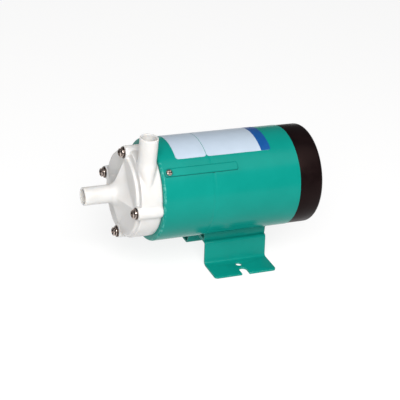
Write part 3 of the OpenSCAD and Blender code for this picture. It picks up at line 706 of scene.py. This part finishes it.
def shell_tube(tree, given):
    """Tube with its lip, its rounded front edge marked for chips and a painted highlight, and its
    groove.
    """
    front, rear, radius, edge, wall, lip = (
        given[n] for n in ("Front", "Rear", "Radius", "Edge round", "Wall", "Lip")
    )
    groove = given["Groove station"], given["Groove half"]
    start, behind, after_groove = (
        add(tree, MATH, {0: a, 1: b}, operation="ADD")
        for a, b in ((front, edge), (front, wall), groove)
    )
    inside, lip_r, edge_r, before_groove = (
        add(tree, MATH, {0: a, 1: b}, operation="SUBTRACT")
        for a, b in ((radius, wall), (radius, lip), (radius, edge), groove)
    )

    # Straight stretches of the outline: rows, then both ends as station and radius
    walls = []
    for rows, x0, r0, x1, r1 in (
        (3, front, lip_r, front, edge_r),
        (10, start, radius, before_groove, radius),
        (16, after_groove, radius, rear, radius),
        (2, rear, radius, rear, inside),
        (4, rear, inside, behind, inside),
        (2, behind, inside, behind, lip_r),
        (2, behind, lip_r, front, lip_r),
    ):
        mesh, along, angle = open_sheet(tree, rows, SHELL_COLUMNS, FULL_TURN)
        station = add(tree, RANGE, {"Value": along, "To Min": x0, "To Max": x1})
        reach = add(tree, RANGE, {"Value": along, "To Min": r0, "To Max": r1})
        walls.append(wrap(tree, mesh, station, reach, angle))

    # Rounded front edge: a quarter turn, marked for chips and a painted highlight
    mesh, along, angle = open_sheet(tree, 10, SHELL_COLUMNS, FULL_TURN)
    swing = add(tree, MATH, {0: along, 1: math.pi / 2}, operation="MULTIPLY")
    cosine = add(tree, MATH, {0: swing}, operation="COSINE")
    sine = add(tree, MATH, {0: swing}, operation="SINE")
    back_off = add(tree, MATH, {0: cosine, 1: edge}, operation="MULTIPLY")
    station = add(tree, MATH, {0: start, 1: back_off}, operation="SUBTRACT")
    reach = add(tree, MATH, {0: sine, 1: edge, 2: edge_r}, operation="MULTIPLY_ADD")
    walls.append(add(tree, "GeometryNodeStoreNamedAttribute", {
        "Geometry": wrap(tree, mesh, station, reach, angle), "Name": "wear", "Value": EDGE_WEAR_AND_HIGHLIGHT,
    }, domain="CORNER"))

    # Rolled groove: the radius dips by the square of a sine
    mesh, along, angle = open_sheet(tree, 15, SHELL_COLUMNS, FULL_TURN)
    station = add(tree, RANGE, {"Value": along, "To Min": before_groove, "To Max": after_groove})
    swing = add(tree, MATH, {0: along, 1: math.pi}, operation="MULTIPLY")
    sine = add(tree, MATH, {0: swing}, operation="SINE")
    square = add(tree, MATH, {0: sine, 1: 2.0}, operation="POWER")
    dip = add(tree, MATH, {0: square, 1: given["Groove depth"]}, operation="MULTIPLY")
    reach = add(tree, MATH, {0: radius, 1: dip}, operation="SUBTRACT")
    walls.append(wrap(tree, mesh, station, reach, angle))
    return merged_sheets(tree, walls)


def strip_painted_shade(tree, given, within, across, station):
    """Painted shade in the strip's crease, most along its lower edge, and in a ring round the
    screw.
    """
    side = given["Strip side"]
    full = add(tree, MATH, {0: side, 1: CREASE_SHARE}, operation="MULTIPLY")
    crease = add(tree, RANGE, {"Value": within, "From Min": side, "From Max": full})
    lower = add(tree, RANGE, {
        "Value": across, "From Min": -SHADE_HALF * MM, "From Max": SHADE_HALF * MM,
        "To Min": UPPER_SHADE, "To Max": 1.0,
    })
    behind = add(tree, MATH, {0: station, 1: given["Screw station"]}, operation="SUBTRACT")
    from_screw = add(tree, "ShaderNodeVectorMath", {
        0: add(tree, VECTOR, {"X": across, "Y": behind}),
    }, operation="LENGTH")
    ring = add(tree, RANGE, {
        "Value": from_screw.outputs["Value"],
        "From Min": RING_FULL_R * MM, "From Max": RING_CLEAR_R * MM,
        "To Min": RING_SHADE, "To Max": 0.0,
    })
    creased = add(tree, MATH, {0: crease, 1: lower}, operation="MULTIPLY")
    return add(tree, MATH, {0: creased, 1: ring}, operation="MAXIMUM")


def strip_sheet(tree, given):
    """Pressed strip: it rises inside an outline with round corners and ends within the wall."""
    front, radius, edge = given["Front"], given["Radius"], given["Edge round"]
    half, end, corner = given["Strip half"], given["Strip end"], given["Strip corner"]
    margin, sunk = STRIP_MARGIN * MM, STRIP_SUNK * MM
    arc = add(tree, MATH, {0: half, 1: margin}, operation="ADD")
    half_turn = add(tree, MATH, {0: arc, 1: radius}, operation="DIVIDE")
    turn = add(tree, MATH, {0: half_turn, 1: 2.0}, operation="MULTIPLY")
    first = add(tree, MATH, {0: edge, 1: STRIP_START, 2: front}, operation="MULTIPLY_ADD")
    last = add(tree, MATH, {0: end, 1: margin}, operation="ADD")
    straight_half = add(tree, MATH, {0: half, 1: corner}, operation="SUBTRACT")
    straight_end = add(tree, MATH, {0: end, 1: corner}, operation="SUBTRACT")
    straight_start = add(tree, MATH, {0: first, 1: corner}, operation="ADD")
    leaves = []
    for raised in (True, False):
        mesh, along, angle = open_sheet(tree, 131, 37, turn)
        station = add(tree, RANGE, {"Value": along, "To Min": first, "To Max": last})
        rise = sunk
        if raised:
            across = add(tree, MATH, {0: angle, 1: radius}, operation="MULTIPLY")
            aside = add(tree, MATH, {0: across}, operation="ABSOLUTE")
            beside = add(tree, MATH, {0: aside, 1: straight_half}, operation="SUBTRACT")
            behind = add(tree, MATH, {0: station, 1: straight_end}, operation="SUBTRACT")
            before = add(tree, MATH, {0: straight_start, 1: station}, operation="SUBTRACT")
            beyond = add(tree, MATH, {0: behind, 1: before}, operation="MAXIMUM")
            outside = add(tree, "ShaderNodeVectorMath", {
                0: add(tree, VECTOR, {"X": beside, "Y": beyond}),
                1: (0.0, 0.0, 0.0),
            }, operation="MAXIMUM")
            reach = add(tree, "ShaderNodeVectorMath", {0: outside}, operation="LENGTH")
            within = add(tree, MATH, {0: corner, 1: reach.outputs["Value"]}, operation="SUBTRACT")
            rise = add(tree, RANGE, {
                "Value": within, "From Min": 0.0, "From Max": given["Strip side"],
                "To Min": sunk, "To Max": given["Strip rise"],
            }, interpolation_type="SMOOTHSTEP")
            # Painted shade, stored for the enamel: darker in the crease and round the screw
            mesh = add(tree, "GeometryNodeStoreNamedAttribute", {
                "Geometry": mesh, "Name": "grime",
                "Value": strip_painted_shade(tree, given, within, across, station),
            })
        height = add(tree, MATH, {0: radius, 1: rise}, operation="ADD")
        leaves.append(wrap(tree, mesh, station, height, angle))
    return merged_sheets(tree, leaves)


def shell_tree():
    """Tube and two strips, the far one a mirror of the near one."""
    tree, given = new_tree("pressed_shell", sized(
        "Front", "Rear", "Radius", "Wall", "Lip", "Edge round",
        "Groove station", "Groove half", "Groove depth",
        "Strip half", "Strip end", "Strip rise", "Strip corner", "Strip side", "Strip angle",
        "Screw station", "Axis height",
    ))
    tube = shell_tube(tree, given)
    near_strip = add(tree, TRANSFORM, {
        "Geometry": strip_sheet(tree, given),
        "Rotation": add(tree, VECTOR, {"X": given["Strip angle"]}),
    })
    far_strip = add(tree, TRANSFORM, {"Geometry": near_strip, "Scale": (1.0, -1.0, 1.0)})
    return close_tree(tree, given, on_axis(tree, given, [tube, near_strip, far_strip]))


def build_shell(enamel):
    """Painted motor shell."""
    shell = grown("shell_skin", shell_tree(), {
        "Front": SHELL_FRONT, "Rear": SHELL_REAR, "Radius": SHELL_R, "Wall": SHELL_WALL,
        "Lip": SHELL_LIP, "Edge round": SHELL_ROUND,
        "Groove station": GROOVE_X, "Groove half": GROOVE_HALF, "Groove depth": GROOVE_DEPTH,
        "Strip half": STRIP_HALF, "Strip end": STRIP_END, "Strip rise": STRIP_RISE,
        "Strip corner": STRIP_CORNER, "Strip side": STRIP_SIDE,
        "Screw station": SHELL_SCREW_X, "Axis height": AXIS_H,
    }, {"Strip angle": math.radians(STRIP_ANGLE), "Material": enamel}, 50)
    piece_from("shell_skin", shell, "housing", "green_paint", "motor_shell")


# Labels: stations and sizes in millimetres, half of the angle that they cover in degrees

FRONT_LABEL = (-75.5, -45.0)
REAR_LABEL = (-44.5, 21.5)
INK_BAND = (11.2, 21.5)
LABEL_HALF_ANGLE = 30.3
LABEL_CORNER = 2.6
LABEL_TOP, LABEL_UNDER = 0.16, 0.02
LABEL_STEP = 2.0
LABEL_COLUMNS = 40


def label_mesh(name, x0, x1, bands):
    """Bare sticker on the shell: a thin curved sheet with round corners and coloured bands."""
    half_arc = math.radians(LABEL_HALF_ANGLE) * SHELL_R
    stops = {x0, x1}
    for i in range(7):
        inset = LABEL_CORNER * (1 - math.cos(math.radians(15 * i)))
        stops |= {x0 + inset, x1 - inset}
    for band in bands:
        stops |= set(band)
    count = max(2, round((x1 - x0) / LABEL_STEP))
    stops |= {x0 + (x1 - x0) * i / count for i in range(count)}
    stations = sorted(stops)
    bm = bmesh.new()
    layers = []
    for lift in (LABEL_TOP, LABEL_UNDER):
        r = SHELL_R + lift
        rows = []
        for x in stations:
            near = min(x - x0, x1 - x)
            cut = 0.0
            if near < LABEL_CORNER:
                past = LABEL_CORNER - near
                cut = LABEL_CORNER - math.sqrt(max(0.0, LABEL_CORNER ** 2 - past ** 2))
            row = []
            for c in range(LABEL_COLUMNS + 1):
                a = (half_arc - cut) * (2 * c / LABEL_COLUMNS - 1) / SHELL_R
                y, z = -r * math.sin(a), AXIS_H + r * math.cos(a)
                row.append(bm.verts.new((x * MM, y * MM, z * MM)))
            rows.append(row)
        layers.append(rows)
    top, under = layers
    last = len(stations) - 1
    for k in range(last):
        middle = (stations[k] + stations[k + 1]) / 2
        inked = any(start < middle < end for start, end in bands)
        for c in range(LABEL_COLUMNS):
            upper = bm.faces.new((top[k][c], top[k + 1][c], top[k + 1][c + 1], top[k][c + 1]))
            upper.material_index = int(inked)
            bm.faces.new((under[k][c], under[k][c + 1], under[k + 1][c + 1], under[k + 1][c]))
        for c in (0, LABEL_COLUMNS):
            bm.faces.new((top[k][c], top[k + 1][c], under[k + 1][c], under[k][c]))
    for k in (0, last):
        for c in range(LABEL_COLUMNS):
            bm.faces.new((top[k][c], top[k][c + 1], under[k][c + 1], under[k][c]))
    return closed_mesh(name, bm, 40)


def build_labels():
    """Two bare stickers, the rear one with a blue end."""
    vinyl, ink = pale_vinyl(), blue_ink_vinyl()
    for name, ends, bands in (
        ("front_label", FRONT_LABEL, []),
        ("rear_label", REAR_LABEL, [INK_BAND]),
    ):
        label = label_mesh(name, *ends, bands)
        label.materials.append(vinyl)
        label.materials.append(ink)
        piece_from(name, label, "housing", "white_plastic")


# Fasteners

CIRCLE_SIZES = ("Circle radius", "Station", "Axis height")
SCREW_SIZES = tuple(CASING_SCREW)
# Shares of a head's radius: its dome, the block that trims it, its recess, and where its painted
# dark reflection starts and is full
DOME_SPREAD = 1.15
BLOCK_WIDTH = 4.0
RECESS_LENGTH, RECESS_WIDTH = 1.4, 0.4
DARK_FROM, DARK_FULL = 0.88, 0.6
# Shares of a head's height: the cutter of its recess, and where its driven face starts
RECESS_CUT = 0.8
FACE_FROM = 0.5


def head_painted_dark(tree, start_r, full_r, face_h):
    """Painted dark reflection on the driven face of a head, fading out towards its rim."""
    at = add(tree, "ShaderNodeSeparateXYZ", {"Vector": add(tree, "GeometryNodeInputPosition")})
    from_middle = add(tree, "ShaderNodeVectorMath", {
        0: add(tree, VECTOR, {"X": at.outputs["X"], "Y": at.outputs["Y"]}),
    }, operation="LENGTH")
    on_face = add(tree, MATH, {0: at.outputs["Z"], 1: face_h}, operation="GREATER_THAN")
    return add(tree, RANGE, {
        "Value": from_middle.outputs["Value"],
        "From Min": start_r, "From Max": full_r, "To Max": on_face,
    })


def pan_head_shape(tree, given):
    """Pan head with a cross recess on a plain shank: seat at z = 0, top towards +Z."""
    head_r, head_h, length = given["Head radius"], given["Head height"], given["Shank length"]
    dome_r, block_w, bar_l, bar_w, start_r, full_r = (
        add(tree, MATH, {0: head_r, 1: share}, operation="MULTIPLY")
        for share in (DOME_SPREAD, BLOCK_WIDTH, RECESS_LENGTH, RECESS_WIDTH, DARK_FROM, DARK_FULL)
    )
    twice_h, below, bar_h, face_h = (
        add(tree, MATH, {0: head_h, 1: share}, operation="MULTIPLY")
        for share in (2.0, -1.0, RECESS_CUT, FACE_FROM)
    )
    barrel = add(tree, "GeometryNodeMeshCylinder", {
        "Vertices": 40, "Radius": head_r, "Depth": twice_h,
    })
    dome = add(tree, TRANSFORM, {
        "Geometry": add(tree, "GeometryNodeMeshUVSphere", {
            "Segments": 40, "Rings": 24, "Radius": 1.0,
        }),
        "Scale": add(tree, VECTOR, {"X": dome_r, "Y": dome_r, "Z": head_h}),
    })
    round_head = add(tree, "GeometryNodeMeshBoolean", {
        "Mesh 2": [barrel, dome],
    }, operation="INTERSECT")

    # Cutters: a block below the seat, wider than the head, and the two bars of the recess
    cutters = [add(tree, TRANSFORM, {
        "Geometry": add(tree, "GeometryNodeMeshCube", {
            "Size": add(tree, VECTOR, {"X": block_w, "Y": block_w, "Z": twice_h}),
        }),
        "Translation": add(tree, VECTOR, {"Z": below}),
    })]
    bar = add(tree, "GeometryNodeMeshCube", {
        "Size": add(tree, VECTOR, {"X": bar_l, "Y": bar_w, "Z": bar_h}),
    })
    for turn in (45, 135):
        cutters.append(add(tree, TRANSFORM, {
            "Geometry": bar,
            "Translation": add(tree, VECTOR, {"Z": head_h}),
            "Rotation": (0.0, 0.0, math.radians(turn)),
        }))
    cut = add(tree, "GeometryNodeMeshBoolean", {
        "Mesh 1": round_head, "Mesh 2": cutters,
    }, operation="DIFFERENCE")
    # Painted dark reflection on the driven face, stored for the steel
    head = add(tree, "GeometryNodeStoreNamedAttribute", {
        "Geometry": cut, "Name": "grime", "Value": head_painted_dark(tree, start_r, full_r, face_h),
    })
    middle = add(tree, MATH, {0: length, 1: -0.5}, operation="MULTIPLY")
    shank = add(tree, TRANSFORM, {
        "Geometry": add(tree, "GeometryNodeMeshCylinder", {
            "Vertices": 24, "Radius": given["Shank radius"], "Depth": length,
        }),
        "Translation": add(tree, VECTOR, {"Z": middle}),
    })
    return add(tree, "GeometryNodeJoinGeometry", {"Geometry": [head, shank]})


def on_circle(tree, given, shape, facing):
    """Copies of a shape on a circle round the shaft line, the first at the top, facing along X."""
    ring = add(tree, TRANSFORM, {
        "Geometry": add(tree, "GeometryNodeMeshCircle", {
            "Vertices": given["Count"], "Radius": given["Circle radius"],
        }),
        "Translation": add(tree, VECTOR, {"X": given["Station"], "Z": given["Axis height"]}),
        "Rotation": (0.0, math.radians(-90), 0.0),
    })
    return add(tree, "GeometryNodeInstanceOnPoints", {
        "Points": ring, "Instance": shape, "Rotation": (0.0, math.radians(90 * facing), 0.0),
    })


def eased_section(tree, given, width, height):
    """Rectangle with rounded corners, to be swept into a washer."""
    return add(tree, "GeometryNodeFilletCurve", {
        "Curve": add(tree, "GeometryNodeCurvePrimitiveQuadrilateral", {
            "Width": width, "Height": height,
        }),
        "Radius": given["Edge round"], "Count": 3,
    }, mode="POLY")


def circle_tree(name, *labels):
    """New tree of shapes on a circle: their number, the circle's sizes and the shape's own."""
    return new_tree(name, {"Count": "NodeSocketInt"} | sized(*CIRCLE_SIZES, *labels))


def screw_circle_tree(name, facing):
    """Screws on a circle."""
    tree, given = circle_tree(name, *SCREW_SIZES)
    screws = on_circle(tree, given, pan_head_shape(tree, given), facing)
    return close_tree(tree, given, screws)


def shell_screw_tree():
    """One screw through each pressed strip, its head square to the shell."""
    tree, given = new_tree("shell_screw_pair", sized(
        "Seat radius", "Angle", "Station", "Axis height", *SCREW_SIZES,
    ))
    seated = add(tree, TRANSFORM, {
        "Geometry": pan_head_shape(tree, given),
        "Translation": add(tree, VECTOR, {"X": given["Station"], "Z": given["Seat radius"]}),
    })
    pair = []
    for side in (1.0, -1.0):
        lean = add(tree, MATH, {0: given["Angle"], 1: side}, operation="MULTIPLY")
        pair.append(add(tree, TRANSFORM, {
            "Geometry": seated, "Rotation": add(tree, VECTOR, {"X": lean}),
        }))
    return close_tree(tree, given, on_axis(tree, given, pair))


def spring_washer_tree():
    """Split rings: a square section with eased edges swept along almost one turn of a helix."""
    tree, given = circle_tree("spring_washer_ring", *SPRING_WASHER)
    turn = add(tree, "GeometryNodeCurveSpiral", {
        "Resolution": 40, "Rotations": 0.95, "Start Radius": given["Mean radius"],
        "End Radius": given["Mean radius"], "Height": given["Spring"],
    })
    swept = add(tree, "GeometryNodeCurveToMesh", {
        "Curve": turn, "Fill Caps": True,
        "Profile Curve": eased_section(tree, given, given["Section"], given["Section"]),
    })
    return close_tree(tree, given, on_circle(tree, given, swept, -1))


def flat_washer_tree():
    """Punched rings: a flat section with eased edges swept round a circle."""
    tree, given = circle_tree("flat_washer_ring", *FLAT_WASHER)
    bore_r, thickness = given["Bore radius"], given["Thickness"]
    width = add(tree, MATH, {0: given["Outer radius"], 1: bore_r}, operation="SUBTRACT")
    middle = add(tree, MATH, {0: width, 1: 0.5, 2: bore_r}, operation="MULTIPLY_ADD")
    ring = add(tree, "GeometryNodeCurveToMesh", {
        "Curve": add(tree, "GeometryNodeCurvePrimitiveCircle", {
            "Resolution": 48, "Radius": middle,
        }),
        "Profile Curve": eased_section(tree, given, width, thickness),
    })
    half_t = add(tree, MATH, {0: thickness, 1: 0.5}, operation="MULTIPLY")
    seated = add(tree, TRANSFORM, {
        "Geometry": ring, "Translation": add(tree, VECTOR, {"Z": half_t}),
    })
    return close_tree(tree, given, on_circle(tree, given, seated, -1))


def build_fasteners(steel):
    """Screws and washers, and a light that glints on these alone, as on polished metal."""
    polished = bpy.data.collections.new("polished")
    add_light("glint").light_linking.receiver_collection = polished
    axis = {"Axis height": AXIS_H}
    casing = axis | {"Circle radius": SCREW_CIRCLE_R}
    four = {"Count": 4, "Material": steel}
    for name, node, tree, lengths, others in (
        ("washer_ring", "flat_washers", flat_washer_tree(),
         casing | FLAT_WASHER | {"Station": BOSS_X}, four | {"Material": shade_darkened_stainless()}),
        ("spring_ring", "spring_washers", spring_washer_tree(),
         casing | SPRING_WASHER | {"Station": SPRING_X}, four),
        ("screw_ring", "casing_screws", screw_circle_tree("casing_screw_ring", -1),
         casing | CASING_SCREW | {"Station": SCREW_SEAT_X}, four),
        ("cap_screw_ring", "cap_screws", screw_circle_tree("cap_screw_ring", 1),
         axis | CAP_SCREW | {"Circle radius": CAP_CIRCLE_R, "Station": CAP_SEAT_X},
         {"Count": 3, "Material": steel}),
        ("shell_screw_pair", "shell_screws", shell_screw_tree(),
         axis | SHELL_SCREW | {"Seat radius": SHELL_SEAT_R, "Station": SHELL_SCREW_X},
         {"Angle": math.radians(STRIP_ANGLE), "Material": steel}),
    ):
        mesh = grown(name, tree, lengths, others, 45)
        polished.objects.link(piece_from(name, mesh, "housing", "stainless", node))


# Pump head

# Relief of the cover: how far its flanks draw in, how they bend, and their flare up to the tube
RIDGE_HOLLOW = 0.95
FLANK_BEND = 0.9
FLANK_CUTS = 20
FLANK_FACING = -0.4
FLARE_RISE = 3.0
FLARE_WIDTH = 3.4
# Spread of the cover's rim in millimetres, and where round the rim it starts and over how much
RIM_SPREAD = 2.6
RIM_BAND = 2.0
RIM_SLACK = 0.05
SPREAD_FROM, SPREAD_OVER = 0.05, 0.45
# Fillet under the discharge tube: stations and radii, height above the shaft line, direction
ROOT_PROFILE = [
    (0.0, 1.0), (0.0, 8.75), (6.0, 8.1), (12.0, 6.5), (18.0, 4.3), (22.5, 2.2), (25.0, 1.0),
]
ROOT_H = 40.0
ROOT_LEAN = (-0.1, -0.61, -1.0)


def from_axis(vert):
    """Vertex along the shaft line, across it, above it and away from it, in millimetres."""
    x, y, z = vert.co / MM
    return x, y, z - AXIS_H, math.hypot(y, z - AXIS_H)


def hollow_ridges(bm):
    """Draws in the cover's flat flanks, so that four ridges stand out, and flares their roots."""
    bm.normal_update()
    mark = bm.faces.layers.int.new("flank")
    edges = set()
    for face in bm.faces:
        stations, _, _, reaches = zip(*(from_axis(v) for v in face.verts))
        low, high = min(stations), max(stations)
        on_front = low > RISE_X - 0.1 and high < COVER_X + 0.1 and low < COVER_X - 0.1
        on_flank = min(reaches) > TUBE_R and max(reaches) < RIDGE_REACH + 0.5
        if on_front and on_flank and face.normal.x < FLANK_FACING:
            face[mark] = 1
            edges.update(face.edges)
    bmesh.ops.subdivide_edges(bm, edges=list(edges), cuts=FLANK_CUTS, use_grid_fill=True)
    for vert in {v for face in bm.faces if face[mark] for v in face.verts}:
        _, y, z, r = from_axis(vert)
        star = (abs(y) / r) ** RIDGE_HOLLOW + (abs(z) / r) ** RIDGE_HOLLOW
        reach = RIDGE_REACH / star ** (1 / RIDGE_HOLLOW)
        share = min(1.0, max(0.0, (r - TUBE_R) / (reach - TUBE_R)))
        bend = 1 + FLANK_BEND * 2 * abs(y * z) / r ** 2
        flare = FLARE_RISE * max(0.0, 1 - (r - TUBE_R) / FLARE_WIDTH) ** 2
        vert.co.x = (COVER_X - FRONT_RISE * (1 - share) ** bend - flare) * MM


def spread_rim(bm):
    """Widens the lower half of the cover's rim, where the photograph shows no step."""
    for vert in bm.verts:
        x, y, z, r = from_axis(vert)
        on_rim = COVER_R - RIM_BAND < r < COVER_R + RIM_SLACK
        if on_rim and COVER_X - RIM_SLACK < x < COVER_X + COVER_T + RIM_SLACK:
            low = min(1.0, max(0.0, (SPREAD_FROM - z / r) / SPREAD_OVER))
            wider = 1 + RIM_SPREAD * low * low * (3 - 2 * low) / r
            vert.co.y = y * wider * MM
            vert.co.z = (AXIS_H + z * wider) * MM


def build_casing(polypropylene):
    """Cover and volute as one moulding, with a fillet where the discharge tube meets the volute."""
    bm = merged_copy("front_cover", "volute_casing")
    hollow_ridges(bm)
    spread_rim(bm)
    lean = Vector(ROOT_LEAN).normalized()
    root = (NOZZLE_X, NOZZLE_Y, AXIS_H + ROOT_H)
    lathe(bm, ROOT_PROFILE, lean, lean.orthogonal().normalized(), root, steps=72)
    casing = moulding("casing_skin", bm, voxel=0.7, passes=5)
    casing.materials.append(polypropylene)
    piece_from("casing_skin", casing, "housing", "white_plastic", "front_cover", "volute_casing")


# Base and rear end

GROMMET_PROFILE = [
    (-4.4, 3.25), (-4.4, 6.0), (-4.0, 6.5), (-2.9, 6.5), (-2.4, 6.0), (-2.4, 5.0), (0.0, 5.0),
    (0.0, 6.1), (0.5, 6.6), (1.2, 6.45), (1.8, 5.6), (2.0, 4.2), (1.7, 3.5), (1.2, 3.25),
]


def build_base(enamel):
    """Folded base and saddle, the cut edges of the sheet rounded over, chipped and given a painted
    highlight.
    """
    for name, node, worn_and_lit in (("base_skin", "base_bracket", 1.0), ("saddle_skin", "saddle", 0.6)):
        sheet = eased_edges(name, node, 0.4, worn_and_lit)
        sheet.materials.append(enamel)
        piece_from(name, sheet, "housing", "green_paint", node)


def build_rear(abs_plastic, rubber):
    """Rear cap with rounded vent edges, and the rubber grommet of the cable entry."""
    cap = eased_edges("cap_skin", "rear_cap", 0.35)
    cap.materials.append(abs_plastic)
    piece_from("cap_skin", cap, "housing", "black_plastic", "rear_cap")
    bm = bmesh.new()
    entry = (CAP_END, 0, AXIS_H - ENTRY_CIRCLE_R)
    lathe(bm, GROMMET_PROFILE, (1, 0, 0), (0, 0, 1), entry, steps=48)
    grommet = closed_mesh("grommet_skin", bm, 40)
    grommet.materials.append(rubber)
    piece_from("grommet_skin", grommet, "housing", "seal_rubber", "cable_entry")


# Assembly

def build_pump():
    """Paints the CAD nodes and builds the pieces that take the place of some."""
    polypropylene = moulded_polypropylene()
    enamel = sprayed_enamel()
    steel = rolled_stainless()
    abs_plastic = moulded_abs()
    rubber = moulded_rubber()
    for material, nodes in (
        (enamel, ("motor_shell", "base_bracket", "saddle")),
        (enamelled_casting(), ("front_bracket",)),
        (polypropylene, ("front_cover", "volute_casing", "magnet_capsule")),
        (steel, ("casing_screws", "spring_washers", "flat_washers", "shell_screws", "cap_screws",
                 "base_bolts", "base_nuts")),
        (abs_plastic, ("rear_cap", "run_capacitor")),
        (rubber, ("cable_entry", "cover_seal", "casing_seal")),
        (ground_steel(), ("motor_shaft", "fan_clip", "front_outer_race", "front_balls",
                          "front_inner_race", "rear_outer_race", "rear_balls",
                          "rear_inner_race")),
        (stacked_lamination(), ("stator_core", "rotor_core")),
        (black_oxide_steel(), ("drive_yoke", "yoke_screw")),
        (varnished_copper(), ("stator_winding",)),
        (sand_cast_aluminium(), ("rotor_cage", "rear_shield")),
        (sintered_ferrite(), ("drive_magnets", "driven_magnet")),
        (fired_alumina(), ("spindle", "front_thrust_ring", "rear_thrust_ring")),
        (glass_filled_polypropylene(), ("rear_casing", "impeller", "cooling_fan")),
        (pressed_carbon(), ("impeller_bush",)),
    ):
        for node in nodes:
            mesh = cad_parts[node].data
            mesh.materials.clear()
            mesh.materials.append(material)
    build_casing(polypropylene)
    build_shell(enamel)
    build_labels()
    build_fasteners(steel)
    build_base(enamel)
    build_rear(abs_plastic, rubber)


place_camera()
build_studio()
build_pump()
